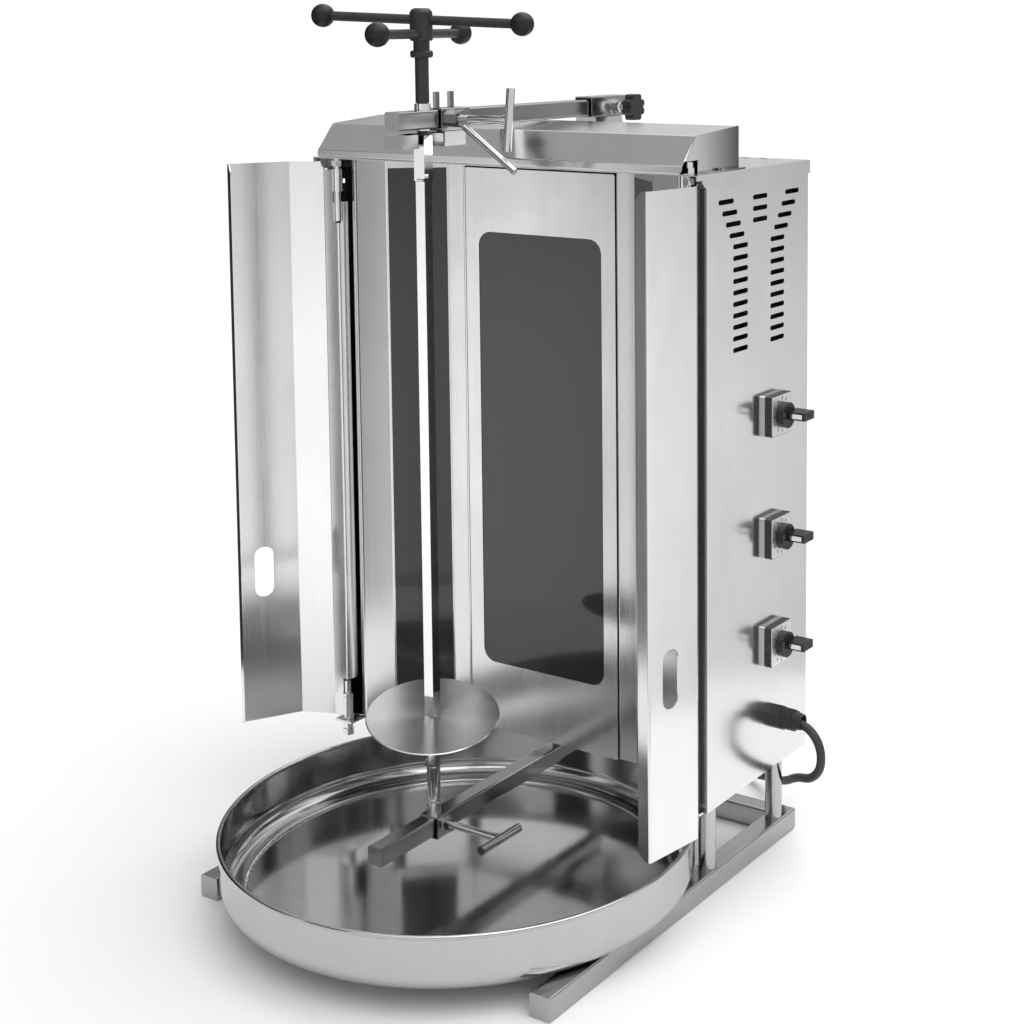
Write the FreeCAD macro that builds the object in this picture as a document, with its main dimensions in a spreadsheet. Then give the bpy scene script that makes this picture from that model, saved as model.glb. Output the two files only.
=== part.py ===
import FreeCAD, Part
import math
import os
import Sketcher

V = FreeCAD.Vector
ROT = FreeCAD.Rotation
doc = FreeCAD.newDocument("vertical_broiler")

# ---------------------------------------------------------------- driving dimensions (mm, degrees)
# Frame: X right, Y back, Z up.  Origin: middle of the underside of the rear cross tube.
DIMS = [
    ("rail_size", 25.0), ("rail_half_width", 240.5), ("rail_front_y", -490.5), ("rail_rear_y", 12.5),
    ("post_radius", 10.0), ("post_x", 228.0), ("post_front_y", -173.0), ("post_rear_y", -19.0),
    ("body_half_width", 266.0), ("body_front_y", -236.5), ("body_rear_y", -8.5),
    ("body_bottom_z", 120.0), ("body_top_z", 812.0), ("sheet", 1.2),
    ("cover_overhang_y", -257.5), ("cover_flange", 15.0),
    ("hood_half_width", 253.8), ("hood_lip_y", -264.8), ("hood_front_y", -235.8),
    ("hood_rear_y", -148.0), ("hood_lip_z", 821.4), ("hood_front_z", 851.0), ("hood_rear_z", 857.2),
    ("recess_y", -170.3), ("panel_half_width", 106.4), ("panel_top_z", 800.0),
    ("window_half_width", 87.6), ("window_low_z", 203.0), ("window_high_z", 725.0),
    ("window_corner", 17.0), ("glass_thick", 4.0),
    ("pivot_x", 246.0), ("pivot_y", -239.5), ("pin_radius", 4.0), ("pin_bore", 4.05),
    ("door_low_z", 119.6), ("door_high_z", 804.5), ("door_leaf", 22.7), ("door_inner", 44.0),
    ("door_outer", 75.0), ("door_bend_one", 27.0), ("door_bend_two", 38.0), ("door_edge", 15.0),
    ("door_rest_left", -4.3), ("door_rest_right", -33.5),
    ("pan_radius", 265.3), ("pan_y", -329.0), ("pan_base_z", 25.4), ("pan_rim_z", 88.6),
    ("pan_fillet", 20.0),
    ("spit_y", -373.0), ("bar_size", 12.0), ("bar_low_z", 210.0), ("bar_high_z", 804.0),
    ("disc_radius", 72.5), ("disc_z", 219.6), ("disc_tilt_x", 8.1), ("disc_tilt_y", 9.0),
    ("shank_radius", 7.3), ("socket_radius", 8.8), ("sleeve_size", 14.0), ("sleeve_top_z", 852.0),
    ("top_pin_radius", 6.0), ("top_pin_bore", 6.06), ("top_rod_radius", 7.25),
    ("hub_radius", 12.0), ("ball_radius", 12.5), ("ball_reach", 112.0), ("handle_rod_radius", 5.1),
    ("handle_high_z", 973.0), ("handle_lean", 5.0), ("handle_low_z", 958.3), ("handle_turn", 17.4),
    ("arm_size", 19.8), ("arm_wall", 1.5), ("low_arm_z", 89.0), ("low_arm_front_y", -470.0),
    ("low_arm_rear_y", -149.5), ("high_arm_z", 858.6), ("high_arm_front_y", -422.0),
    ("high_arm_rear_y", -14.0), ("collar_play", 0.1), ("collar_inner", 22.0),
    ("collar_wall", 1.3), ("tube_corner", 2.4),
    ("low_collar_y", -383.3), ("low_collar_length", 24.8), ("high_collar_y", -357.2),
    ("high_collar_length", 46.0), ("rear_sleeve_y", -78.5), ("rear_sleeve_length", 76.0),
    ("screw_radius", 4.2), ("screw_bore", 4.26), ("clamp_reach", 84.0), ("clamp_bar", 66.0),
    ("knob_radius", 12.4), ("knob_thick", 12.0),
    ("switch_size", 46.0), ("switch_thick", 12.0), ("switch_y", -94.0),
    ("switch_high_z", 533.0), ("switch_mid_z", 394.3), ("switch_low_z", 269.5),
    ("dial_radius", 14.5), ("grip_front", -3.0), ("grip_back", 20.5), ("grip_height", 9.5),
    ("grip_depth", 21.0),
    ("slot_length", 32.0), ("slot_height", 5.4), ("slot_pitch", 12.5), ("slot_top_z", 779.6),
    ("gland_y", -84.5), ("gland_z", 178.4), ("gland_hex", 25.0), ("cord_radius", 5.0),
    ("coil_radius", 55.0), ("coil_section", 13.0), ("coil_x", -60.0), ("coil_y", 118.0),
]
D = dict(DIMS)
sheet = doc.addObject("Spreadsheet::Sheet", "Dims")
for row, (alias, value) in enumerate(DIMS, start=1):
    sheet.set("A%d" % row, alias)
    sheet.set("B%d" % row, str(value))
    sheet.setAlias("B%d" % row, alias)
doc.recompute()

NODES = []
AXES = {"x": V(1, 0, 0), "y": V(0, 1, 0), "z": V(0, 0, 1)}
ALONG = {"x": ROT(V(0, 0, 1), V(1, 0, 0)), "y": ROT(V(0, 0, 1), V(0, 1, 0)), "z": ROT()}


# ---------------------------------------------------------------- helpers
def bind(obj, prop, value):
    """Set a property from a number, or bind it to a spreadsheet expression."""
    if isinstance(value, str):
        obj.setExpression(prop, value)
    else:
        setattr(obj, prop, value)


def place(obj, at=(0, 0, 0), turn=None):
    obj.Placement = FreeCAD.Placement(V(*at), turn or ROT())
    return obj


def node(obj, label):
    """Register a finished sub-part under its file name."""
    obj.Label = label
    NODES.append(obj)
    return obj


def box(size, at, turn=None):
    """Box of the given size with its low corner at a point."""
    obj = doc.addObject("Part::Box", "box")
    for prop, value in zip(("Length", "Width", "Height"), size):
        bind(obj, prop, value)
    return place(obj, at, turn)


def rod(radius, length, at, axis="z"):
    """Cylinder starting at a point and running along +x, +y or +z."""
    obj = doc.addObject("Part::Cylinder", "rod")
    bind(obj, "Radius", radius)
    bind(obj, "Height", length)
    return place(obj, at, ALONG[axis])


def rod_between(radius, start, end):
    """Cylinder between two points."""
    run = V(*end) - V(*start)
    obj = doc.addObject("Part::Cylinder", "rod")
    bind(obj, "Radius", radius)
    obj.Height = run.Length
    return place(obj, start, ROT(V(0, 0, 1), run))


def cone(low_radius, high_radius, height, at, axis="z"):
    obj = doc.addObject("Part::Cone", "cone")
    obj.Radius1 = low_radius
    obj.Radius2 = high_radius
    obj.Height = height
    return place(obj, at, ALONG[axis])


def ball(radius, at):
    obj = doc.addObject("Part::Sphere", "ball")
    bind(obj, "Radius", radius)
    return place(obj, at)


def prism(flats, height, at, axis="z"):
    """Hexagonal bar measured across its flats."""
    obj = doc.addObject("Part::Prism", "hex")
    obj.Polygon = 6
    if isinstance(flats, str):
        obj.setExpression("Circumradius", "%s / sqrt(3)" % flats)
    else:
        obj.Circumradius = flats / math.sqrt(3)
    bind(obj, "Height", height)
    return place(obj, at, ALONG[axis])


def fuse(*parts):
    obj = doc.addObject("Part::MultiFuse", "fused")
    obj.Shapes = list(parts)
    return obj


def cut(base, *tools):
    obj = doc.addObject("Part::Cut", "cut")
    obj.Base = base
    obj.Tool = tools[0] if len(tools) == 1 else fuse(*tools)
    return obj


def together(*parts):
    """Several separate solids kept in one file."""
    obj = doc.addObject("Part::Compound", "set")
    obj.Links = list(parts)
    return obj


def origin_plane(body, role):
    for feature in body.Origin.OriginFeatures:
        if feature.Role == role:
            return feature
    raise ValueError(role)


def draw(sketch, loop):
    """Draw a closed loop whose entries are points or (arc middle, arc end) pairs."""
    here = V(*loop[0], 0)
    for entry in list(loop[1:]) + [loop[0]]:
        if isinstance(entry[0], tuple):
            mid = V(*entry[0], 0)
            end = V(*entry[1], 0)
            arc = Part.Arc(here, mid, end)
            sketch.addGeometry(arc, False)
            here = end
        else:
            end = V(*entry, 0)
            if (end - here).Length > 1e-6:
                sketch.addGeometry(Part.LineSegment(here, end), False)
            here = end


def new_sketch(body, role, loops):
    sketch = body.newObject("Sketcher::SketchObject", "outline")
    sketch.AttachmentSupport = [(origin_plane(body, role), "")]
    sketch.MapMode = "FlatFace"
    for loop in loops:
        draw(sketch, loop)
    return sketch


def padded(role, loops, length, middle, at=(0, 0, 0), turn=None, pockets=()):
    """Outline on an origin plane, padded both ways about the plane, then moved.

    middle is where the middle of the pad sits along the plane's normal axis.
    pockets is a list of (role, loops) cut right through the pad.
    """
    body = doc.addObject("PartDesign::Body", "body")
    sketch = new_sketch(body, role, loops)
    pad = body.newObject("PartDesign::Pad", "pad")
    pad.Profile = sketch
    pad.SideType = "Symmetric"
    bind(pad, "Length", length)
    doc.recompute()
    for pocket_role, pocket_loops in pockets:
        tool_sketch = new_sketch(body, pocket_role, pocket_loops)
        pocket = body.newObject("PartDesign::Pocket", "pocket")
        pocket.Profile = tool_sketch
        pocket.SideType = "Symmetric"
        pocket.Length = 2000.0
        doc.recompute()
        if pocket.Shape.Volume > pad.Shape.Volume - 0.5:
            raise ValueError("pocket removed nothing")
    offset = {"XY_Plane": V(0, 0, middle), "XZ_Plane": V(0, middle, 0), "YZ_Plane": V(middle, 0, 0)}[role]
    body.Placement = FreeCAD.Placement(V(*at) + offset, turn or ROT())
    return body


def revolved(points, at=(0, 0, 0), turn=None):
    """Closed (radius, height) loop turned a full circle about the vertical axis."""
    body = doc.addObject("PartDesign::Body", "turned")
    sketch = new_sketch(body, "XZ_Plane", [points])
    feature = body.newObject("PartDesign::Revolution", "turn")
    feature.Profile = sketch
    feature.ReferenceAxis = (sketch, ["V_Axis"])
    feature.Angle = 360.0
    doc.recompute()
    return place(body, at, turn)


def folded(points, thickness, bends):
    """Closed outline of a bent sheet: middle line through the points, an arc at each fold."""
    half = thickness / 2.0
    path = [V(x, y, 0) for x, y in points]
    runs = [(b - a).normalize() for a, b in zip(path, path[1:])]
    sides = [V(-run.y, run.x, 0) for run in runs]

    def flat(vector):
        return (vector.x, vector.y)

    left = [flat(path[0] + sides[0] * half)]
    right = [flat(path[0] - sides[0] * half)]
    for corner, a, b, na, nb, bend in zip(path[1:], runs, runs[1:], sides, sides[1:], bends):
        hand = 1.0 if a.x * b.y - a.y * b.x > 0 else -1.0
        reach = bend * math.tan(a.getAngle(b) / 2)
        start = corner - a * reach
        end = corner + b * reach
        centre = start + na * (bend * hand)
        out = (corner - centre).normalize()
        for rim, way in ((left, 1.0), (right, -1.0)):
            middle = flat(centre + out * (bend - way * hand * half))
            near = flat(start + na * (way * half))
            far = flat(end + nb * (way * half))
            rim.extend([near, (middle, far)] if way > 0 else [(middle, near), far])
    left.append(flat(path[-1] + sides[-1] * half))
    right.append(flat(path[-1] - sides[-1] * half))
    return left + right[::-1]


def rounded(x0, z0, x1, z1, r):
    """Rectangle with rounded corners, as a sketch loop."""
    k = r * (1 - math.sqrt(0.5))
    return [
        (x0 + r, z0), (x1 - r, z0), ((x1 - k, z0 + k), (x1, z0 + r)), (x1, z1 - r),
        ((x1 - k, z1 - k), (x1 - r, z1)), (x0 + r, z1), ((x0 + k, z1 - k), (x0, z1 - r)),
        (x0, z0 + r), ((x0 + k, z0 + k), (x0 + r, z0)),
    ]


def slot_loop(cx, cy, length, height, turn=0.0):
    """Round-ended slot centred on a point, as a sketch loop."""
    r = height / 2.0
    h = length / 2.0 - r
    c = math.cos(math.radians(turn))
    s = math.sin(math.radians(turn))

    def p(x, y):
        return (cx + x * c - y * s, cy + x * s + y * c)
    return [p(-h, -r), p(h, -r), (p(h + r, 0), p(h, r)), p(-h, r), (p(-h - r, 0), p(-h, -r))]


def square_tube(size, wall, x0, y0, y1, z0):
    """Square tube with rounded edges along Y, its front end closed by a welded plate."""
    middle = (y0 + y1) / 2
    outer = padded("XZ_Plane", [rounded(x0, z0, x0 + size, z0 + size, D["tube_corner"])], y1 - y0, middle)
    inner = padded("XZ_Plane", [rounded(x0 + wall, z0 + wall, x0 + size - wall, z0 + size - wall, 1.0)],
                   y1 - y0, middle + wall)
    return cut(outer, inner)


# ---------------------------------------------------------------- base frame
rs = D["rail_size"]
rail_length = D["rail_rear_y"] - D["rail_front_y"]
rail_middle = (D["rail_rear_y"] + D["rail_front_y"]) / 2
wall = 1.5


def rail(side):
    """Base rail, closed at both ends."""
    x0 = -D["rail_half_width"] if side < 0 else D["rail_half_width"] - rs
    outer = padded("XZ_Plane", [rounded(x0, 0.0, x0 + rs, rs, D["tube_corner"])],
                   "Dims.rail_rear_y - Dims.rail_front_y", rail_middle)
    inner = padded("XZ_Plane", [rounded(x0 + wall, wall, x0 + rs - wall, rs - wall, 1.0)],
                   rail_length - 4.0, rail_middle)
    return cut(outer, inner)


node(rail(-1), "left_rail")
node(rail(1), "right_rail")
tube_half = D["rail_half_width"] - rs
half_rail = rs / 2
cross = cut(
    padded("YZ_Plane", [rounded(-half_rail, 0.0, half_rail, rs, D["tube_corner"])], 2 * tube_half, 0.0),
    padded("YZ_Plane", [rounded(wall - half_rail, wall, half_rail - wall, rs - wall, 1.0)],
           2 * tube_half + 2, 0.0),
)
node(cross, "rear_cross_tube")

post_top = D["body_bottom_z"] + D["sheet"]


def post(x, y):
    outer = rod("Dims.post_radius", post_top - rs, (x, y, rs))
    inner = rod(D["post_radius"] - 1.5, post_top - rs + 2, (x, y, rs - 1))
    return cut(outer, inner)


posts = [post(sx * D["post_x"], y) for sx in (-1, 1) for y in (D["post_front_y"], D["post_rear_y"])]
node(together(*posts), "support_posts")

# ---------------------------------------------------------------- body shell
t = D["sheet"]
bw = D["body_half_width"]
by0 = D["body_front_y"]
by1 = D["body_rear_y"]
bz0 = D["body_bottom_z"]
bz1 = D["body_top_z"]
ry = D["recess_y"]

# plan outline behind which the floor lies: recess back, angled glass facet, front facet
STRIP_X = 133.0
FACET = (188.5, ry - 48.0)
EDGE = (237.0, ry - 61.0)

floor_half = [(bw - 2.2, by0 + 1.5), (EDGE[0], EDGE[1] + 2), (FACET[0] + 1, FACET[1] + 2.5),
              (STRIP_X + 1, ry + 2.2)]
floor_loop = ([(x, y) for x, y in floor_half] + [(-x, y) for x, y in floor_half[::-1]]
              + [(-(bw - 2.2), by1 - 2.5), (bw - 2.2, by1 - 2.5)])
node(padded("XY_Plane", [floor_loop], "Dims.sheet", bz0 + 1.5 * t), "floor_plate")

panel_top = bz1 - t - 0.1
side_path = [(bw - 10.0, by0 + t / 2), (bw - t / 2, by0 + t / 2), (bw - t / 2, by1 - t / 2),
             (bw - 13.0, by1 - t / 2)]


def vent_slots(side):
    """Fan of vent slots: 14 rows, the upper four rows spreading outwards."""
    loops = []
    for row in range(14):
        spread = max(0, 4 - row)
        z = D["slot_top_z"] - row * D["slot_pitch"]
        front = -165.0 - 7.7 * spread
        back = -82.7 + 8.45 * spread
        for y in (front, back):
            loops.append(slot_loop(y, z, D["slot_length"], D["slot_height"]))
        if row < 3:
            loops.append(slot_loop(-122.2, z, D["slot_length"], D["slot_height"]))
    return loops


def side_panel(side):
    path = [(side * x, y) for x, y in side_path]
    height = panel_top - bz0
    body = padded("XY_Plane", [folded(path, t, (1.8, 1.8))], height, bz0 + height / 2)
    tools = []
    cutter = padded("YZ_Plane", vent_slots(side), 30.0, side * bw)
    tools.append(cutter)
    foot = box((11.5, by1 - by0 - 3.0, t), ((bw - 12.7) if side > 0 else -(bw - 1.2), by0 + 1.3, bz0))
    if side > 0:
        for z in (D["switch_high_z"], D["switch_mid_z"], D["switch_low_z"]):
            tools.append(rod(11.0, 30.0, (bw - 15, D["switch_y"], z), "x"))
        tools.append(rod(12.6, 30.0, (bw - 15, D["gland_y"], D["gland_z"]), "x"))
    return fuse(cut(body, *tools), foot)


node(side_panel(-1), "left_side_panel")
node(side_panel(1), "right_side_panel")

back_height = panel_top - (bz0 + 2 * t + 0.1)
back_mid_z = bz0 + 2 * t + 0.1 + back_height / 2
back_loop = rounded(-(bw - 2.6), bz0 + 2 * t + 0.1, bw - 2.6, panel_top, 1.0)
back_slots = [slot_loop(x, z, 60.0, 5.0) for z in [700 - 16 * i for i in range(5)]
              for x in (-160, -80, 0, 80, 160)]
back_slots += [slot_loop(x, z, 60.0, 5.0) for z in [230 - 16 * i for i in range(4)]
               for x in (-160, -80, 0, 80, 160)]
node(padded("XZ_Plane", [back_loop] + back_slots, "Dims.sheet", by1 - 1.5 * t - 0.05), "back_panel")

# top cover: a lid with turned-down side and rear edges, ears running forward over the hinges
lid_half = bw + t
lid_y0 = D["cover_overhang_y"]
lid_y1 = by1 + t
lid_z0 = bz1 - D["cover_flange"]
lid_outer = box((2 * lid_half, lid_y1 - lid_y0, "Dims.cover_flange"), (-lid_half, lid_y0, lid_z0))
lid_inner = box((2 * (bw + 0.05), by1 + 0.05 - lid_y0 + 5, 60), (-(bw + 0.05), lid_y0 - 5, bz1 - t - 60))
ear_cut = padded("YZ_Plane", [[
    (lid_y0 - 3, lid_z0 - 3), (by0 + 1.0, lid_z0 - 3), (by0 + 1.0, lid_z0),
    ((by0 - 6.0, lid_z0 + 2.3), (by0 - 9.0, lid_z0 + 8.9)), (lid_y0 - 3, lid_z0 + 8.9),
]], 2 * lid_half + 20, 0.0)
lid_slots = padded("XY_Plane", [slot_loop(x, -20.5, 15.0, 5.0, -29.0)
                                for x in [23.67 * i for i in range(-9, 10)]], 30.0, bz1)
bolt_holes = [rod(4.1, 20, (s * D["pivot_x"], D["pivot_y"], bz1 - 10)) for s in (-1, 1)]
node(cut(lid_outer, lid_inner, ear_cut, lid_slots, *bolt_holes), "top_cover")

# hood: lip, slope, rising top and back wall in one bent sheet, with two end plates
hz = bz1 + t / 2
hood_path = [(lid_y0 + 8.0, hz + 0.05), (D["hood_lip_y"] - 0.6, hz + 0.05),
             (D["hood_lip_y"] + 1.2, D["hood_lip_z"]),
             (D["hood_front_y"], D["hood_front_z"]), (D["hood_rear_y"] - t / 2, D["hood_rear_z"]),
             (D["hood_rear_y"] - t / 2, hz + 0.05), (D["hood_rear_y"] - 14.0, hz + 0.05)]
hood_half = D["hood_half_width"] - t
hood_body = padded("YZ_Plane", [folded(hood_path, t, (2.0, 2.6, 2.6, 2.0, 2.0))], 2 * hood_half, 0.0)
corner_r = 6.0


def lip_corner(side):
    """Tool that rounds the lower outer corner of the lip."""
    x1 = side * (hood_half + 1)
    x0 = side * (hood_half - corner_r)
    k = corner_r * (1 - math.sqrt(0.5))
    edge = side * hood_half
    z0 = bz1
    loop = [(x1, z0 - 1), (x0, z0 - 1), (x0, z0), ((edge - side * k, z0 + k), (edge, z0 + corner_r)),
            (x1, z0 + corner_r)]
    return padded("XZ_Plane", [loop], 8.0, D["hood_lip_y"] + 0.6)


node(cut(hood_body, lip_corner(-1), lip_corner(1)), "hood_shell")


def hood_end(side):
    """End plate of the hood; its front corner is notched around the hinge bolt."""
    y0 = D["hood_front_y"] + 3.8
    y1 = D["hood_rear_y"]
    notch_z = bz1 + 14.0
    crest_y = D["hood_front_y"]
    crest_z = D["hood_front_z"]
    loop = [(y0, bz1 + 0.05), (y0, notch_z), (D["hood_lip_y"] + 6.5, notch_z),
            (crest_y - 1.0, crest_z + 0.3), (crest_y + 1.0, crest_z + 0.7),
            (y1, D["hood_rear_z"] + 0.6), (y1, bz1 + 0.05)]
    plate = padded("YZ_Plane", [loop], "Dims.sheet", side * (D["hood_half_width"] - t / 2))
    x0 = D["hood_half_width"] - 0.5 if side > 0 else -(D["hood_half_width"] - 0.5 + 9.0)
    flange = box((9.0, y1 - y0 - 8.0, t), (x0, y0 + 8.0, bz1 + 0.05))
    screw_y = (y0 + y1) / 2
    screw = rod(3.2, 1.6, (side * (D["hood_half_width"] + 4.6), screw_y, bz1 + t))
    return fuse(plate, flange, screw)


node(together(hood_end(-1), hood_end(1)), "hood_end_plates")

# ---------------------------------------------------------------- recess: wings, panel, glasses
wing_low = bz0 + 2 * t + 0.1
wing_high = bz1 - t - 0.1
wing_mid = (wing_low + wing_high) / 2
wing_path = [(108.2, ry + 14.0), (108.2, ry + t / 2), (STRIP_X, ry + t / 2), (FACET[0], FACET[1] + t / 2),
             (EDGE[0], EDGE[1] + t / 2), (EDGE[0] + 1.4, EDGE[1] + 15.0)]
fx0, fy0 = STRIP_X, ry + t / 2
fx1, fy1 = FACET[0], FACET[1] + t / 2
facet_len = math.hypot(fx1 - fx0, fy1 - fy0)
facet_turn = math.degrees(math.atan2(fy1 - fy0, fx1 - fx0))
glass_low = wing_low + 12.0
glass_high = wing_high - 12.0
gt = D["glass_thick"]


def on_facet(side, width, depth, low, high, push):
    """Upright slab centred on the angled facet; push moves it towards the front."""
    c = math.cos(math.radians(facet_turn))
    s = math.sin(math.radians(facet_turn))
    mx = (fx0 + fx1) / 2 + push * s
    my = (fy0 + fy1) / 2 - push * c
    slab = box((width, depth, high - low), (0, 0, 0))
    local = FreeCAD.Placement(V(-width / 2, -depth / 2, low), ROT())
    world = FreeCAD.Placement(V(side * mx, my, 0), ROT(V(0, 0, 1), side * facet_turn))
    slab.Placement = world.multiply(local)
    return slab


def wing(side):
    path = [(side * x, y) for x, y in wing_path]
    body = padded("XY_Plane", [folded(path, t, (1.8, 2.0, 2.0, 10.0))], wing_high - wing_low, wing_mid)
    opening = on_facet(side, facet_len - 4.0, 12.0, glass_low, glass_high, 0.0)
    return cut(body, opening)


node(wing(-1), "left_wing")
node(wing(1), "right_wing")
for side, name in ((-1, "left_wing_glass"), (1, "right_wing_glass")):
    node(on_facet(side, facet_len - 4.4, gt, glass_low + 0.2, glass_high - 0.2, 0.5 - gt / 2), name)

pw = D["panel_half_width"]
panel_low = bz0 + 0.2
panel_outer = rounded(-pw, panel_low, pw, D["panel_top_z"], 2.0)
window_loop = rounded(-D["window_half_width"], D["window_low_z"], D["window_half_width"],
                      D["window_high_z"], D["window_corner"])
panel_sheet = padded("XZ_Plane", [panel_outer, window_loop], "Dims.sheet", ry + t / 2)
panel_sides = [box((t, 16.0, D["panel_top_z"] - panel_low - 6.0),
                   (x, ry + t - 0.2, panel_low + 3.0)) for x in (-pw + 0.2, pw - 0.2 - t)]
node(fuse(panel_sheet, *panel_sides), "centre_panel")
gw = D["window_half_width"] - 0.3
node(padded("XZ_Plane", [rounded(-gw, D["window_low_z"] + 0.3, gw, D["window_high_z"] - 0.3,
                                 D["window_corner"] - 0.3)],
            "Dims.glass_thick", ry + 0.8 + gt / 2), "centre_glass")
trim_out = rounded(-gw - 10, D["window_low_z"] - 10, gw + 10, D["window_high_z"] + 10, 24.0)
trim_in = rounded(-gw + 6, D["window_low_z"] + 6, gw - 6, D["window_high_z"] - 6, 12.0)
node(padded("XZ_Plane", [trim_out, trim_in], 1.5, ry + 0.8 + gt + 0.75 + 0.05), "glass_retainer")

# heating elements: upright quartz tubes behind each glass, with a reflector tray behind them
tubes = []
for x in (-66, -33, 0, 33, 66):
    tubes.append(rod(5.0, 500.0, (x, ry + 22.0, 214.0)))
for side in (-1, 1):
    for push in (-1, 1):
        c = math.cos(math.radians(facet_turn))
        s = math.sin(math.radians(facet_turn))
        mx = (fx0 + fx1) / 2 - 18.0 * s + push * 17.0 * c
        my = (fy0 + fy1) / 2 + 18.0 * c + push * 17.0 * s
        tubes.append(rod(5.0, 600.0, (side * mx, my, 160.0)))
node(together(*tubes), "heating_tubes")

tray = [box((190.0, 1.5, 560.0), (-95.0, ry + 34.0, 184.0)),
        on_facet(-1, 66.0, 1.5, 150.0, 770.0, -30.0),
        on_facet(1, 66.0, 1.5, 150.0, 770.0, -30.0)]
node(together(*tray), "reflector_trays")
node(box((210.0, 40.0, 600.0), (-105.0, ry + 38.0, 160.0)), "insulation_block")
node(box((60.0, 24.0, 90.0), (110.0, -60.0, 250.0)), "terminal_block")

switch_z = [D["switch_high_z"], D["switch_mid_z"], D["switch_low_z"]]
cam_parts = []
for z in switch_z:
    cam_parts.append(box((36.0, 40.0, 40.0), (bw - t - 36.5, D["switch_y"] - 20.0, z - 20.0)))
node(together(*cam_parts), "switch_bodies")

# ---------------------------------------------------------------- door hinges
px = D["pivot_x"]
py = D["pivot_y"]
brackets = []
bolts = []
for side in (-1, 1):
    x = side * px
    plate = box((26.0, 34.0, 2.4), (x - 13.0, py - 10.0, bz0 - 3.0))
    hole = rod(4.1, 12.0, (x, py, bz0 - 8.0))
    tab = box((16.0, 12.0, 2.7), (x - 10.0 if side > 0 else x - 6.0, py + 12.0, bz0 - 1.5))
    brackets.append(fuse(cut(plate, hole), tab))
    low_shaft = rod("Dims.pin_radius", 167.0 - 101.0, (x, py, 101.0))
    low_head = prism(13.0, 7.0, (x, py, 100.0))
    low_nut = prism(11.5, 8.6, (x, py, 108.3))
    low_ring = rod(6.3, 4.0, (x, py, 147.6))
    bolts.append(fuse(low_shaft, low_head, low_nut, low_ring))
    high_shaft = rod("Dims.pin_radius", 824.6 - 740.0, (x, py, 740.0))
    high_head = prism(12.0, 6.3, (x, py, bz1))
    high_cap = rod(5.2, 5.8, (x, py, bz1 + 6.2))
    high_washer = rod(7.2, 1.6, (x, py, bz1 - t - 1.6))
    high_nut = prism(12.0, 6.5, (x, py, bz1 - t - 10.0))
    high_tube = rod(6.5, 25.0, (x, py, 772.0))
    high_ring = rod(7.2, 1.6, (x, py, 770.4))
    bolts.append(fuse(high_shaft, high_head, high_cap, high_washer, high_nut, high_tube, high_ring))
node(together(*brackets), "hinge_brackets")
node(together(*bolts), "hinge_bolts")


# ---------------------------------------------------------------- doors
def polar(start, length, angle):
    a = math.radians(angle)
    return (start[0] + length * math.cos(a), start[1] + length * math.sin(a))


def door(side):
    """Folded heat shield turning on two pins; drawn with its pivot at the origin."""
    one = 180.0 + D["door_bend_one"]
    two = one + D["door_bend_two"]
    back_tip = polar((0.0, 0.0), 15.0, 85.0)
    p1 = (-D["door_leaf"], 0.0)
    p2 = polar(p1, D["door_inner"], one)
    p3 = polar(p2, D["door_outer"], two)
    p4 = polar(p3, D["door_edge"], two + 90.0)
    path = [back_tip, (0.0, 0.0), p1, p2, p3, p4]
    if side > 0:
        path = [(-x, y) for x, y in path]
    low = D["door_low_z"]
    high = D["door_high_z"]
    body = padded("XY_Plane", [folded(path, t, (1.8, 3.0, 3.0, 2.2))], high - low, (high + low) / 2)
    rest = D["door_rest_left"] if side < 0 else D["door_rest_right"]
    turn = ROT(V(0, 0, 1), rest)
    home = FreeCAD.Placement(V(side * px, py, 0), turn)
    body.Placement = home.multiply(body.Placement)

    def local(obj):
        obj.Placement = home.multiply(obj.Placement)
        return obj

    tools = []
    for z0, z1 in ((147.2, 168.0), (757.0, high + 5)):
        tools.append(local(rod(7.6, z1 - z0, (0, 0, z0))))
    for z0, z1 in ((low - 5, 168.0), (757.0, high + 5)):
        tools.append(local(box((18.0, 18.0, z1 - z0), (-9.0, 1.2, z0))))
    # relief where the leaf passes under the ear of the top cover
    ear_x = -(D["door_leaf"] - 1.2) if side < 0 else 0.0
    tools.append(local(box((D["door_leaf"] - 1.2, 10.0, 30.0), (ear_x, -5.0, 795.5))))
    # finger slot in the outer panel
    mid = polar(p2, 43.0, two)
    if side > 0:
        mid = (-mid[0], mid[1])
    angle = two if side < 0 else 180.0 - two
    slot = padded("XZ_Plane", [rounded(-12.0, -31.0, 12.0, 31.0, 11.0)], 12.0, 0.0)
    slot.Placement = FreeCAD.Placement(V(mid[0], mid[1], 304.0), ROT(V(0, 0, 1), angle))
    tools.append(local(slot))
    # rounded free corners of the edge flange
    edge_dir = two + 90.0
    for z_corner, z_sign in ((low, 1), (high, -1)):
        r = 13.0
        k = r * (1 - math.sqrt(0.5))
        loop = [(r + 6, z_corner - z_sign * 1), (0.0, z_corner - z_sign * 1), (0.0, z_corner),
                ((r - k, z_corner + z_sign * k), (r, z_corner + z_sign * r)), (r + 6, z_corner + z_sign * r)]
        corner = padded("XZ_Plane", [loop], 8.0, 0.0)
        base = polar(p3, D["door_edge"] - r, edge_dir)
        spin = edge_dir
        if side > 0:
            base = (-base[0], base[1])
            spin = 180.0 - edge_dir
        corner.Placement = FreeCAD.Placement(V(base[0], base[1], 0), ROT(V(0, 0, 1), spin))
        tools.append(local(corner))
    sheet_part = cut(body, *tools)
    sleeves = [local(rod(6.2, 27.0, (0, 0, low + 0.2))), local(rod(5.7, 21.5, (0, 0, 735.0)))]
    bores = [local(rod("Dims.pin_bore", 40.0, (0, 0, low - 10))),
             local(rod("Dims.pin_bore", 30.0, (0, 0, 732.0)))]
    return cut(fuse(sheet_part, *sleeves), *bores)


node(door(-1), "left_door")
node(door(1), "right_door")

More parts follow.
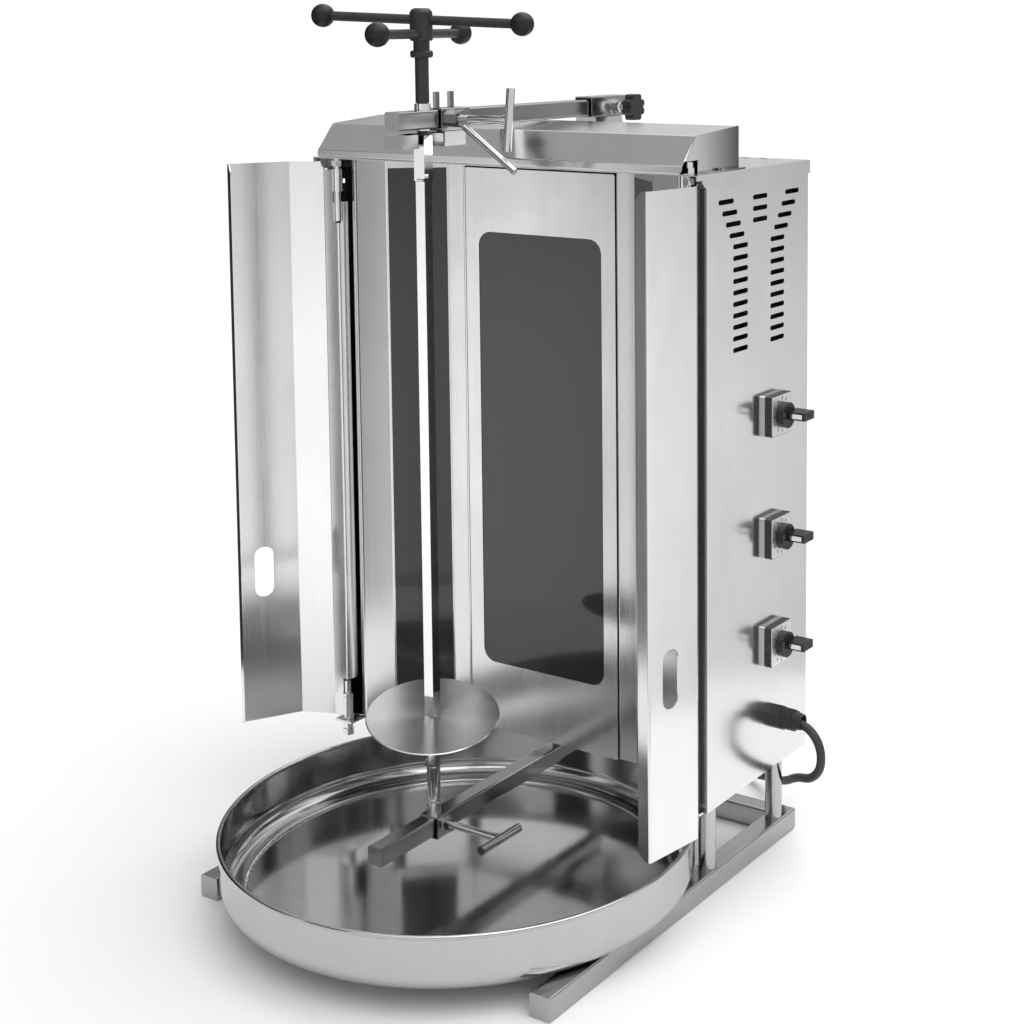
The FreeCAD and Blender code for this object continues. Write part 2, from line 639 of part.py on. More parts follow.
# ---------------------------------------------------------------- drip pan
pr = D["pan_radius"]
pz = D["pan_base_z"]
pf = D["pan_fillet"]
wall_r = pr - 2.8
rim_c = D["pan_rim_z"] - 2.6
kf = pf * (1 - math.sqrt(0.5))
inner_r = wall_r - t
ki = (pf - t) * (1 - math.sqrt(0.5))
pan_loop = [
    (0.0, pz), (wall_r - pf, pz), ((wall_r - kf, pz + kf), (wall_r, pz + pf)), (wall_r, rim_c - 2.0),
    ((pr, rim_c), (wall_r, rim_c + 2.6)), ((wall_r - 2.4, rim_c + 0.3), (inner_r, rim_c - 2.0)),
    (inner_r, pz + pf), ((inner_r - ki, pz + t + ki), (inner_r - pf + t, pz + t)),
    (inner_r - pf - 2.0, pz + t), ((inner_r - pf - 5.0, pz + t + 3.0), (inner_r - pf - 8.0, pz + t)),
    (0.0, pz + t),
]
node(revolved(pan_loop, (0, D["pan_y"], 0)), "drip_pan")

# ---------------------------------------------------------------- lower arm and spit seat
sy = D["spit_y"]
az = D["low_arm_z"]
asz = D["arm_size"]
ah = asz / 2
node(square_tube(asz, D["arm_wall"], -ah, D["low_arm_front_y"], D["low_arm_rear_y"], az), "lower_arm")
stub_size = asz - 2 * D["arm_wall"] - 0.2
stub = padded("XZ_Plane", [rounded(-stub_size / 2, az + 1.6, stub_size / 2, az + 1.6 + stub_size, 1.2)],
              140.0, D["low_arm_rear_y"] + 20.0)
hanger = box((30.0, 66.0, bz0 + t - (az + 1.6 + stub_size)), (-15.0, -132.0, az + 1.6 + stub_size))
node(fuse(stub, hanger), "arm_stub")

cin = D["collar_inner"]
cout = cin + 2 * D["collar_wall"]
collar_mid = cin / 2 - ah - D["collar_play"]
collar_face = collar_mid + cout / 2
hang = asz + D["collar_play"] - cin / 2


def collar(y0, length, mid_z, hole, nut_flats, nut_length):
    """Square sleeve around an arm, with a weld nut at (y, z) on its right-hand wall."""
    outer = padded("XZ_Plane", [rounded(collar_mid - cout / 2, mid_z - cout / 2, collar_mid + cout / 2,
                                        mid_z + cout / 2, 1.6)], length, y0 + length / 2)
    inner = box((cin, length + 2, cin), (collar_mid - cin / 2, y0 - 1, mid_z - cin / 2))
    nut = prism(nut_flats, nut_length, (collar_face, *hole), "x")
    bore = rod("Dims.screw_bore", 30.0, (collar_face - 3.0, *hole), "x")
    return cut(fuse(cut(outer, inner), nut), bore)


low_screw_y = -367.5
node(collar(D["low_collar_y"], D["low_collar_length"], az + hang, (low_screw_y, az + ah), 14.0, 8.0),
     "lower_collar")
seat_z = az + hang + cout / 2
seat_loop = [(0.0, seat_z), (7.4, seat_z), (7.4, seat_z + 12.6), (6.6, seat_z + 13.2), (6.2, seat_z + 13.2),
             (0.0, seat_z + 6.2)]
node(revolved(seat_loop, (0, sy, 0)), "seat_boss")


def clamp_screw(y, z, bar_axis, lean):
    """Screw with a sliding cross bar; the tip stops just short of the arm."""
    shaft = rod("Dims.screw_radius", D["clamp_reach"] - (ah + 0.5), (ah + 0.5, y, z), "x")
    reach = D["clamp_reach"] + 2.0
    half = D["clamp_bar"] / 2
    a = math.radians(lean)
    if bar_axis == "y":
        head = rod_between(5.0, (reach, y - half, z), (reach, y + half, z))
    else:
        head = rod_between(4.6, (reach - half * math.sin(a), y, z - half * math.cos(a)),
                           (reach + half * math.sin(a), y, z + half * math.cos(a)))
    tail = rod(5.4, 5.0, (D["clamp_reach"] - 5.0, y, z), "x")
    return fuse(shaft, head, tail)


node(clamp_screw(low_screw_y, az + ah, "y", 0.0), "lower_clamp_screw")

# ---------------------------------------------------------------- spit
tip = seat_z + 6.2
shank_loop = [(0.0, tip + 0.5), (6.2, tip + 7.5), (6.2, tip + 9.0), (D["shank_radius"], tip + 10.5),
              (D["shank_radius"], 163.0), (D["socket_radius"], 164.5),
              (D["socket_radius"], D["bar_low_z"]), (0.0, D["bar_low_z"])]
set_screw = rod(2.6, 3.0, (0, sy - D["socket_radius"] - 1.6, 172.0), "y")
node(fuse(revolved(shank_loop, (0, sy, 0)), set_screw), "spit_shank")
bs = D["bar_size"]
node(box(("Dims.bar_size", "Dims.bar_size", "Dims.bar_high_z - Dims.bar_low_z"),
         (-bs / 2, sy - bs / 2, D["bar_low_z"])), "spit_bar")
sl = D["sleeve_size"]
sleeve = box(("Dims.sleeve_size", "Dims.sleeve_size", "Dims.sleeve_top_z - Dims.bar_high_z"),
             (-sl / 2, sy - sl / 2, D["bar_high_z"]))
clip = fuse(rod(2.2, sl + 5.0, (-sl / 2 - 2.5, sy - 2.0, D["bar_high_z"] + 5.0), "x"),
            rod(1.5, 9.0, (-2.0, sy - sl / 2 - 1.0, D["bar_high_z"] + 1.0), "x"))
node(fuse(sleeve, clip), "spit_sleeve")

tilt = ROT(V(0, 1, 0), D["disc_tilt_x"]).multiply(ROT(V(1, 0, 0), D["disc_tilt_y"]))
disc_loop = [(0.0, -6.0), (12.5, -6.0), (12.5, -0.8), (D["disc_radius"] - 1.0, -0.8),
             (D["disc_radius"], 0.0), (D["disc_radius"] - 1.0, 0.8), (0.0, 0.8)]
disc_screw = rod(2.2, 10.5, (0, sy - bs / 2 - 10.5, D["disc_z"] - 3.6), "y")
disc_hole = box((bs + 0.3, bs + 0.3, 60.0), (-bs / 2 - 0.15, sy - bs / 2 - 0.15, D["disc_z"] - 30.0))
disc = fuse(revolved(disc_loop, (0, sy, D["disc_z"]), tilt), disc_screw)
node(cut(disc, disc_hole), "spit_disc")

rr = D["top_rod_radius"]
top_loop = [(0.0, D["sleeve_top_z"]), (D["top_pin_radius"], D["sleeve_top_z"]),
            (D["top_pin_radius"], 886.2), (rr, 886.2), (rr, 933.5), (10.5, 933.5), (12.0, 935.0),
            (12.0, 939.5), (10.5, 941.0), (8.6, 941.0), (8.6, 951.0), (0.0, 951.0)]
node(revolved(top_loop, (0, sy, 0)), "spit_top_rod")
a_high = math.radians(D["handle_turn"])
a_low = a_high + math.pi / 2
reach = D["ball_reach"]
rod_reach = reach - 7.0


def ends(angle, z, lean, length):
    """Both points of a handle rod at a distance from its middle; lean drops the right-hand end."""
    c = math.cos(angle)
    s = math.sin(angle)
    drop = lean * length / reach
    return (-length * c, sy - length * s, z + drop), (length * c, sy + length * s, z - drop)


HANDLES = ((a_high, D["handle_high_z"], D["handle_lean"]), (a_low, D["handle_low_z"], 0.0))
node(together(*[rod_between("Dims.handle_rod_radius", *ends(*handle, rod_reach)) for handle in HANDLES]),
     "handle_rods")
hub_loop = [(0.0, 951.0), (11.0, 951.0), (D["hub_radius"], 952.2), (D["hub_radius"], 979.0),
            ((10.2, 983.3), (6.0, 985.2)), (0.0, 985.2)]
bores = [rod_between("Dims.handle_rod_radius", *ends(*handle, 40.0)) for handle in HANDLES]
node(cut(revolved(hub_loop, (0, sy, 0)), *bores), "handle_hub")
balls = []
for handle in HANDLES:
    for centre, stop, start in zip(ends(*handle, reach), ends(*handle, rod_reach), ends(*handle, 60.0)):
        balls.append(cut(ball("Dims.ball_radius", centre),
                         rod_between("Dims.handle_rod_radius", start, stop)))
node(together(*balls), "handle_balls")

# ---------------------------------------------------------------- upper arm and its fittings
uz = D["high_arm_z"]
uc = uz + ah
tube = square_tube(asz, D["arm_wall"], -ah, D["high_arm_front_y"], D["high_arm_rear_y"], uz)
node(cut(tube, rod(7.6, 40.0, (0, sy, uz - 8.0))), "upper_arm")
bush = fuse(rod(7.6, asz + 1.6, (0, sy, uz - 1.6)), rod(8.6, 7.0, (0, sy, uz + asz)))
node(cut(bush, rod("Dims.top_pin_bore", 60.0, (0, sy, uz - 10.0))), "spit_bush")

high_screw_y = -336.5
high_collar = collar(D["high_collar_y"], D["high_collar_length"], uz + hang, (high_screw_y, uc), 16.0, 9.0)
tabs = [box((4.0, 6.5, 17.7), (-2.0, y - 3.25, uz + hang + cout / 2 - 0.5)) for y in (-350.5, -326.5)]
node(fuse(high_collar, *tabs), "upper_collar")

# catch: channel under the arm, open on the right where the spit is swung in
cz0 = 839.5
cz1 = uz + hang - cout / 2
ch = 12.3
base_plate = box((2 * ch, 103.0, 2.0), (-ch, -420.0, cz0))
left_cheek = box((1.8, 103.0, cz1 - cz0 - 1.2), (-ch, -420.0, cz0))
front_cheek = box((2.0, 24.5, cz1 - cz0 - 1.2), (ch - 2.0, -420.0, cz0))
front_web = box((2 * ch, 2.0, cz1 - cz0 - 1.2), (-ch, -420.0, cz0))
rear_cheek = box((2.0, 35.0, cz1 - cz0 - 1.2), (ch - 2.0, -352.0, cz0))
weld_pad = box((2 * ch, 35.0, 2.0), (-ch, -352.0, cz1 - 2.0))
spit_slot = fuse(rod(10.45, 30.0, (0, sy - 10, cz0 - 10)), rod(10.45, 30.0, (0, sy + 10, cz0 - 10)),
                 box((20.9, 20.0, 30.0), (-10.45, sy - 10, cz0 - 10)),
                 box((20.0, 40.9, 30.0), (0.0, sy - 20.45, cz0 - 10)))
node(cut(fuse(base_plate, left_cheek, front_cheek, front_web, rear_cheek, weld_pad), spit_slot), "spit_catch")

node(clamp_screw(high_screw_y, uc, "z", 5.0), "upper_clamp_screw")
ring_x = collar_face + 11.9
ring = cut(rod(10.5, 3.0, (ring_x, high_screw_y, uc), "x"),
           rod("Dims.screw_bore", 10.0, (ring_x - 3.0, high_screw_y, uc), "x"))
lever = rod_between(3.9, (ring_x + 1.5, high_screw_y, uc - 8.5), (93.0, high_screw_y, 814.5))
node(fuse(ring, lever), "catch_lever")

# rear sleeve on its stand, star knob
ry0 = D["rear_sleeve_y"]
rl = D["rear_sleeve_length"]
knob_y = -32.5
sleeve_mid = uz - D["collar_play"] + cin / 2
node(collar(ry0, rl, sleeve_mid, (knob_y, uc), 15.0, 8.0), "rear_sleeve")
stand_top = sleeve_mid - cout / 2
stand_loop = [(-22.0, bz1), (22.0, bz1), (14.0, stand_top), (-14.0, stand_top)]
stand = padded("XZ_Plane", [stand_loop], 56.0, ry0 + 34.0)
foot = box((70.0, 66.0, 2.0), (-35.0, ry0 + 1.0, bz1))
node(fuse(stand, foot), "sleeve_stand")

lobe_reach = D["knob_radius"]
lobes = [(knob_y + lobe_reach * math.cos(math.radians(45 * i + 22)),
          uc + lobe_reach * math.sin(math.radians(45 * i + 22))) for i in range(8)]
knob_x = collar_face + 22.0
grip = fuse(rod(13.4, "Dims.knob_thick", (knob_x, knob_y, uc), "x"),
            *[rod(4.1, "Dims.knob_thick", (knob_x, y, z), "x") for y, z in lobes])
knob_screw = rod("Dims.screw_radius", knob_x - (ah + 0.5) + 2.0, (ah + 0.5, knob_y, uc), "x")
knob_neck = rod(6.4, 6.0, (knob_x - 5.5, knob_y, uc), "x")
node(fuse(grip, knob_neck, knob_screw), "star_knob")

# ---------------------------------------------------------------- switches
ss = D["switch_size"]
plates = []
faces = []
for z in switch_z:
    back = padded("YZ_Plane", [rounded(-ss / 2, -ss / 2, ss / 2, ss / 2, 3.0)], "Dims.switch_thick",
                  bw + D["switch_thick"] / 2, (0, D["switch_y"], z))
    plates.append(cut(back, rod(6.3, 30.0, (bw - 5, D["switch_y"], z), "x")))
    face = padded("YZ_Plane", [rounded(-ss / 2 + 0.8, -ss / 2 + 0.8, ss / 2 - 0.8, ss / 2 - 0.8, 2.4)], 1.0,
                  bw + D["switch_thick"] + 0.5, (0, D["switch_y"], z))
    faces.append(cut(face, rod(6.3, 30.0, (bw - 5, D["switch_y"], z), "x")))
node(together(*plates), "switch_plates")
node(together(*faces), "switch_faces")
for z, name in zip(switch_z, ("top_switch_knob", "middle_switch_knob", "bottom_switch_knob")):
    x0 = bw + D["switch_thick"] + 1.4
    dial = rod("Dims.dial_radius", 8.5, (x0, D["switch_y"], z), "x")
    stem = rod(6.0, 14.0, (x0 - 13.5, D["switch_y"], z), "x")
    half_grip = D["grip_height"] / 2
    grip = padded("YZ_Plane", [rounded(D["grip_front"], -half_grip, D["grip_back"], half_grip, 1.5)],
                  "Dims.grip_depth", x0 + 8.0 + D["grip_depth"] / 2, (0, D["switch_y"], z))
    node(fuse(dial, stem, grip), name)

# ---------------------------------------------------------------- cable gland, cord, coil, plug
gy = D["gland_y"]
gz = D["gland_z"]
gland = fuse(rod(12.5, 14.0, (bw - 10.0, gy, gz), "x"), prism("Dims.gland_hex", 12.0, (bw, gy, gz), "x"),
             rod(12.2, 3.0, (bw + 12.0, gy, gz), "x"), prism(23.0, 11.0, (bw + 15.0, gy, gz), "x"),
             cone(10.8, 8.8, 10.0, (bw + 26.0, gy, gz), "x"))
mouth = cone(D["cord_radius"], 7.7, 14.0, (bw + 23.0, gy, gz), "x")
node(cut(gland, rod("Dims.cord_radius", 120.0, (bw - 40.0, gy, gz), "x"), mouth), "cable_gland")

route = [
    (275.5, -84.5, 178.4), (304.0, -84.5, 178.4), (324.6, -85.0, 157.4), (324.6, -82.5, 128.0),
    (304.6, -69.5, 106.0), (266.0, -30.0, 86.0), (222.0, 20.0, 51.0), (176.0, 72.0, 26.0),
    (130.0, 106.0, 8.0), (74.0, 110.0, 5.2), (18.0, 92.0, 5.2), (-36.0, 58.0, 5.2),
]


def rounded_wire(points):
    """Straight runs joined by tangent arcs; returns the wire, its radii and its length."""
    pts = [V(*p) for p in points]
    edges = []
    radii = []
    here = pts[0]
    for i in range(1, len(pts) - 1):
        a = pts[i] - pts[i - 1]
        b = pts[i + 1] - pts[i]
        turn = a.getAngle(b)
        reach = 0.45 * min(a.Length, b.Length)
        radii.append(reach / math.tan(turn / 2))
        ua = V(a).normalize()
        ub = V(b).normalize()
        start = pts[i] - ua * reach
        end = pts[i] + ub * reach
        bis = V(ub - ua).normalize()
        radius = radii[-1]
        centre = pts[i] + bis * (radius / math.cos(turn / 2))
        mid = centre - bis * radius
        edges.append(Part.LineSegment(here, start).toShape())
        edges.append(Part.Arc(start, mid, end).toShape())
        here = end
    edges.append(Part.LineSegment(here, pts[-1]).toShape())
    wire = Part.Wire(edges)
    return wire, radii, wire.Length


spine, radii, run = rounded_wire(route)
print("cord radii", [round(r, 1) for r in radii], "length", round(run, 1))
first_edge = V(*route[1]) - V(*route[0])
section = Part.Wire(Part.makeCircle(D["cord_radius"], V(*route[0]), first_edge))
tube_shape = spine.makePipeShell([section], True, False)
cord = doc.addObject("Part::Feature", "cord")
cord.Shape = tube_shape
expected = math.pi * D["cord_radius"] ** 2 * run
print("cord volume", round(cord.Shape.Volume), "expected", round(expected))
node(cord, "power_cord")

coil = doc.addObject("Part::Torus", "coil")
bind(coil, "Radius1", "Dims.coil_radius")
bind(coil, "Radius2", "Dims.coil_section")
place(coil, (D["coil_x"], D["coil_y"], D["coil_section"]))
node(coil, "cord_coil")
plug_x = D["coil_x"] + 58.0
plug_y = D["coil_y"] + 63.5
plug_z = 17.2
plug_body = fuse(cone(5.6, 14.0, 32.0, (plug_x - 32.0, plug_y, plug_z), "x"),
                 rod(17.0, 36.0, (plug_x, plug_y, plug_z), "x"))
plug_pins = [rod(2.4, 19.0, (plug_x + 36.0, plug_y + dy, plug_z), "x") for dy in (-9.5, 9.5)]
node(fuse(plug_body, *plug_pins), "mains_plug")

# ---------------------------------------------------------------- checks and files
doc.recompute()
bad = [o.Name for o in doc.Objects if any(s in o.State for s in ("Invalid", "Error"))]
if bad:
    raise RuntimeError("objects in error: %s" % bad)
os.makedirs("parts", exist_ok=True)
for part in NODES:
    shape = part.Shape
    if shape.isNull() or not shape.isValid():
        raise RuntimeError("bad shape: %s" % part.Label)
    shape.exportStep("parts/%s.step" % part.Label)
print("nodes", len(NODES))
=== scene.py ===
import math

import bmesh
import bpy
from mathutils import Matrix, Vector


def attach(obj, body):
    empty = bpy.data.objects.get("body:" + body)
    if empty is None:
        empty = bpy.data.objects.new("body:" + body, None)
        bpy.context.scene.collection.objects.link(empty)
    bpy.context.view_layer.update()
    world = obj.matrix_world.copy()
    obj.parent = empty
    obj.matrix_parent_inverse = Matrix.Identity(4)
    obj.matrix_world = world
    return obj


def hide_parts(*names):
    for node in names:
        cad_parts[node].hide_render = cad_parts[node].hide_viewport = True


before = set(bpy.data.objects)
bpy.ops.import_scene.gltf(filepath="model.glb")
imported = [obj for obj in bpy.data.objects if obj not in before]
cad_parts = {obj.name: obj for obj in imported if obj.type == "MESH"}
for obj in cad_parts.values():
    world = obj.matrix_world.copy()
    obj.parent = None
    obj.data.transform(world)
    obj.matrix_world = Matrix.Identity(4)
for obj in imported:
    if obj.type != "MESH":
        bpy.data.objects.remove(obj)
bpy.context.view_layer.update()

MM = 0.001

# ------------------------------------------------------------------ camera


CAMERA_AT = (1.21836, -1.82235, 0.96833)
CAMERA_TURN = 32.843
CAMERA_DIP = 5.729
CAMERA_ROLL = -0.236
LENS = 62.775
SHIFT = (-0.1336, -0.3023)


def make_camera():
    """Camera about level with the machine's top, off its front right-hand corner."""
    turn = math.radians(CAMERA_TURN)
    dip = math.radians(CAMERA_DIP)
    roll = math.radians(CAMERA_ROLL)
    back = Vector((math.sin(turn) * math.cos(dip), -math.cos(turn) * math.cos(dip), math.sin(dip)))
    right = Vector((math.cos(turn), math.sin(turn), 0.0))
    up = back.cross(right)
    rolled_right = right * math.cos(roll) + up * math.sin(roll)
    rolled_up = up * math.cos(roll) - right * math.sin(roll)
    data = bpy.data.cameras.new("camera")
    data.sensor_width = 36.0
    data.lens = LENS
    data.shift_x, data.shift_y = SHIFT
    data.clip_end = 60.0
    camera = bpy.data.objects.new("camera", data)
    bpy.context.scene.collection.objects.link(camera)
    axes = Matrix((rolled_right, rolled_up, back)).transposed().to_4x4()
    camera.matrix_world = Matrix.Translation(CAMERA_AT) @ axes
    bpy.context.scene.camera = camera


make_camera()

# ------------------------------------------------------------------ node graph helpers


class Graph:
    """A material's node tree with short names for what is used again and again."""

    def __init__(self, name):
        self.material = bpy.data.materials.new(name)
        self.material.use_nodes = True
        self.nodes = self.material.node_tree.nodes
        self.links = self.material.node_tree.links
        self.shader = self.nodes["Principled BSDF"]

    def link(self, start, end):
        self.links.new(start, end)

    def set(self, **inputs):
        for name, value in inputs.items():
            self.shader.inputs[name.replace("_", " ")].default_value = value

    def coords(self, scale=(1, 1, 1)):
        """Object coordinates in metres, stretched by a scale on each axis."""
        source = self.nodes.new("ShaderNodeTexCoord")
        mapping = self.nodes.new("ShaderNodeMapping")
        mapping.inputs["Scale"].default_value = scale
        self.link(source.outputs["Object"], mapping.inputs["Vector"])
        return mapping.outputs["Vector"]

    def noise(self, vector, scale, detail=3.0, rough=0.55):
        node = self.nodes.new("ShaderNodeTexNoise")
        node.inputs["Scale"].default_value = scale
        node.inputs["Detail"].default_value = detail
        node.inputs["Roughness"].default_value = rough
        self.link(vector, node.inputs["Vector"])
        return node.outputs["Fac"]

    def spread(self, value, low, high, start=0.25, end=0.75):
        """Map a noise value to a range."""
        node = self.nodes.new("ShaderNodeMapRange")
        node.inputs["From Min"].default_value = start
        node.inputs["From Max"].default_value = end
        node.inputs["To Min"].default_value = low
        node.inputs["To Max"].default_value = high
        self.link(value, node.inputs["Value"])
        return node.outputs["Result"]

    def blend(self, factor, first, second):
        node = self.nodes.new("ShaderNodeMix")
        node.data_type = "RGBA"
        self.link(factor, node.inputs[0])
        for socket, colour in ((node.inputs[6], first), (node.inputs[7], second)):
            if isinstance(colour, tuple):
                socket.default_value = (*colour, 1.0)
            else:
                self.link(colour, socket)
        return node.outputs[2]

    def maths(self, operation, a, b=0.0):
        node = self.nodes.new("ShaderNodeMath")
        node.operation = operation
        for socket, value in zip(node.inputs, (a, b)):
            if isinstance(value, (int, float)):
                socket.default_value = value
            else:
                self.link(value, socket)
        return node.outputs[0]

    def axes(self):
        """The three object coordinates in metres."""
        split = self.nodes.new("ShaderNodeSeparateXYZ")
        self.link(self.coords(), split.inputs[0])
        return split.outputs[0], split.outputs[1], split.outputs[2]

    def grey(self, level, blue):
        """Grey of a level, its blue a touch stronger or weaker."""
        colour = self.nodes.new("ShaderNodeCombineColor")
        self.link(level, colour.inputs[0])
        self.link(level, colour.inputs[1])
        self.link(self.maths("MULTIPLY", level, blue), colour.inputs[2])
        return colour.outputs[0]

    def bump(self, height, strength, distance):
        node = self.nodes.new("ShaderNodeBump")
        node.inputs["Strength"].default_value = strength
        node.inputs["Distance"].default_value = distance
        self.link(height, node.inputs["Height"])
        self.link(node.outputs["Normal"], self.shader.inputs["Normal"])


# ------------------------------------------------------------------ materials

GRAIN = {"x": (5, 900, 900), "y": (900, 5, 900), "z": (900, 900, 5)}


def stainless(name, grain, low=0.14, high=0.21, tone=0.8, streaks=0.014, waves=0.0, painted_reflection_grade=None):
    """Brushed stainless sheet: faint fine lines along one axis, cloudy roughness, light smears.

    The last argument paints a reflection into the tone, as a grade along one axis: (axis, start, end, level
    at the start, level at the end), distances in millimetres.
    """
    g = Graph(name)
    g.set(Metallic=1.0)
    lines = g.noise(g.coords(GRAIN[grain]), 1.0, 3.0, 0.6)
    clouds = g.noise(g.coords(), 7.0, 4.0, 0.6)
    smears = g.noise(g.coords((3, 3, 1.2)), 11.0, 5.0, 0.65)
    fine = g.spread(lines, tone - streaks, tone + streaks, 0.3, 0.7)
    level = g.maths("MULTIPLY", fine, g.spread(smears, 0.975, 1.015, 0.35, 0.7))
    # painted reflection: the tone is graded along one axis
    if painted_reflection_grade:
        axis, start, end, first, last = painted_reflection_grade
        level = g.maths("MULTIPLY", level, g.spread(g.axes()[axis], first, last, start * MM, end * MM))
    g.link(g.grey(level, 1.01), g.shader.inputs["Base Color"])
    rough = g.maths("ADD", g.spread(clouds, low, high), g.spread(lines, -0.02, 0.03, 0.3, 0.7))
    g.link(rough, g.shader.inputs["Roughness"])
    height = lines
    if waves:
        height = g.maths("ADD", lines, g.spread(g.noise(g.coords(), 5.0, 1.0), -waves, waves))
    g.bump(height, 0.03, 0.0002)
    return g.material


def turned_steel_with_painted_sheen(name, centre, tone, low, high):
    """Steel faced on a lathe, with a painted sheen: the tone swings lighter and darker round an upright axis
    in soft sectors.
    """
    g = Graph(name)
    g.set(Metallic=1.0)
    x, y, _ = g.axes()
    dx = g.maths("SUBTRACT", x, centre[0] * MM)
    dy = g.maths("SUBTRACT", y, centre[1] * MM)
    angle = g.maths("ARCTAN2", dy, dx)
    # painted sheen: lighter and darker sectors round the axis, baked into the base colour
    painted_sheen_sectors = g.maths("SINE", g.maths("ADD", g.maths("MULTIPLY", angle, 2.0), 0.9))
    painted_sheen_ripple = g.maths("SINE", g.maths("MULTIPLY", angle, 7.0))
    clouds = g.noise(g.coords(), 26.0, 4.0, 0.6)
    level = g.spread(clouds, tone - 0.02, tone + 0.02)
    level = g.maths("ADD", level, g.spread(painted_sheen_sectors, -0.14, 0.14, -1.0, 1.0))
    level = g.maths("ADD", level, g.spread(painted_sheen_ripple, -0.03, 0.03, -1.0, 1.0))
    g.link(g.grey(level, 1.01), g.shader.inputs["Base Color"])
    g.link(g.spread(clouds, low, high), g.shader.inputs["Roughness"])
    return g.material


def polished(name, tone=0.86, low=0.07, high=0.15):
    """Turned or buffed steel with faint handling marks."""
    g = Graph(name)
    g.set(Metallic=1.0)
    clouds = g.noise(g.coords(), 60.0, 4.0, 0.6)
    marks = g.noise(g.coords((30, 30, 240)), 1.5, 4.0, 0.7)
    g.link(g.grey(g.spread(clouds, tone, tone * 0.94), 1.01), g.shader.inputs["Base Color"])
    g.link(g.spread(marks, low, high), g.shader.inputs["Roughness"])
    g.bump(marks, 0.02, 0.0002)
    return g.material


def black_paint(name):
    """Satin black stoving enamel over steel, with a slight orange peel."""
    g = Graph(name)
    g.set(Specular_IOR_Level=0.4)
    clouds = g.noise(g.coords(), 45.0, 4.0)
    peel = g.noise(g.coords(), 900.0, 2.0)
    g.link(g.grey(g.spread(clouds, 0.022, 0.036), 1.03), g.shader.inputs["Base Color"])
    g.link(g.spread(clouds, 0.3, 0.4), g.shader.inputs["Roughness"])
    g.bump(peel, 0.06, 0.0002)
    return g.material


def two_part(name, axis, edge, first, second):
    """Two materials in one part, changing at a plane across one axis, in millimetres.

    first and second are (level, metallic, roughness) below and beyond the plane.
    """
    g = Graph(name)
    beyond = g.maths("GREATER_THAN", g.axes()[axis], edge * MM)
    clouds = g.noise(g.coords(), 70.0, 3.0)
    shade = g.spread(clouds, 0.95, 1.03)
    low_level = g.maths("MULTIPLY", shade, first[0])
    high_level = g.maths("MULTIPLY", shade, second[0])
    g.link(g.blend(beyond, g.grey(low_level, 1.01), g.grey(high_level, 1.02)), g.shader.inputs["Base Color"])
    g.link(g.spread(beyond, first[1], second[1], 0.0, 1.0), g.shader.inputs["Metallic"])
    g.link(g.maths("MULTIPLY", shade, g.spread(beyond, first[2], second[2], 0.0, 1.0)),
           g.shader.inputs["Roughness"])
    return g.material


def plastic(name, dark, light, low, high, grit=1400.0, strength=0.15):
    """Moulded plastic with a fine spark-eroded texture."""
    g = Graph(name)
    g.set(Specular_IOR_Level=0.3)
    clouds = g.noise(g.coords(), 55.0, 4.0)
    texture = g.noise(g.coords(), grit, 2.0)
    g.link(g.blend(g.spread(clouds, 0, 1), (dark, dark, dark * 1.04), (light, light, light * 1.04)),
           g.shader.inputs["Base Color"])
    g.link(g.spread(clouds, low, high), g.shader.inputs["Roughness"])
    g.bump(texture, strength, 0.0002)
    return g.material


def dark_glass(name):
    """Black glass-ceramic panel: deep grey body, clean gloss, faint dust film."""
    g = Graph(name)
    film = g.noise(g.coords((3, 3, 1)), 6.0, 5.0, 0.65)
    g.link(g.blend(g.spread(film, 0, 1), (0.03, 0.03, 0.031), (0.04, 0.04, 0.041)),
           g.shader.inputs["Base Color"])
    g.link(g.spread(film, 0.05, 0.12), g.shader.inputs["Roughness"])
    g.set(IOR=1.52, Coat_Weight=0.3, Coat_Roughness=0.03)
    return g.material


def rubber(name):
    g = Graph(name)
    clouds = g.noise(g.coords(), 120.0, 4.0)
    g.link(g.blend(g.spread(clouds, 0, 1), (0.018, 0.018, 0.019), (0.035, 0.035, 0.037)),
           g.shader.inputs["Base Color"])
    g.link(g.spread(clouds, 0.42, 0.6), g.shader.inputs["Roughness"])
    g.bump(clouds, 0.1, 0.0003)
    return g.material


def fibre(name):
    g = Graph(name)
    strands = g.noise(g.coords((40, 700, 700)), 1.0, 5.0, 0.7)
    g.link(g.blend(strands, (0.62, 0.6, 0.55), (0.85, 0.83, 0.78)), g.shader.inputs["Base Color"])
    g.link(g.spread(strands, 0.8, 0.95), g.shader.inputs["Roughness"])
    g.bump(strands, 0.6, 0.001)
    return g.material


def quartz(name):
    g = Graph(name)
    clouds = g.noise(g.coords(), 30.0, 3.0)
    g.link(g.blend(clouds, (0.8, 0.78, 0.74), (0.9, 0.89, 0.87)), g.shader.inputs["Base Color"])
    g.link(g.spread(clouds, 0.15, 0.3), g.shader.inputs["Roughness"])
    g.set(Transmission_Weight=0.6, IOR=1.46)
    return g.material


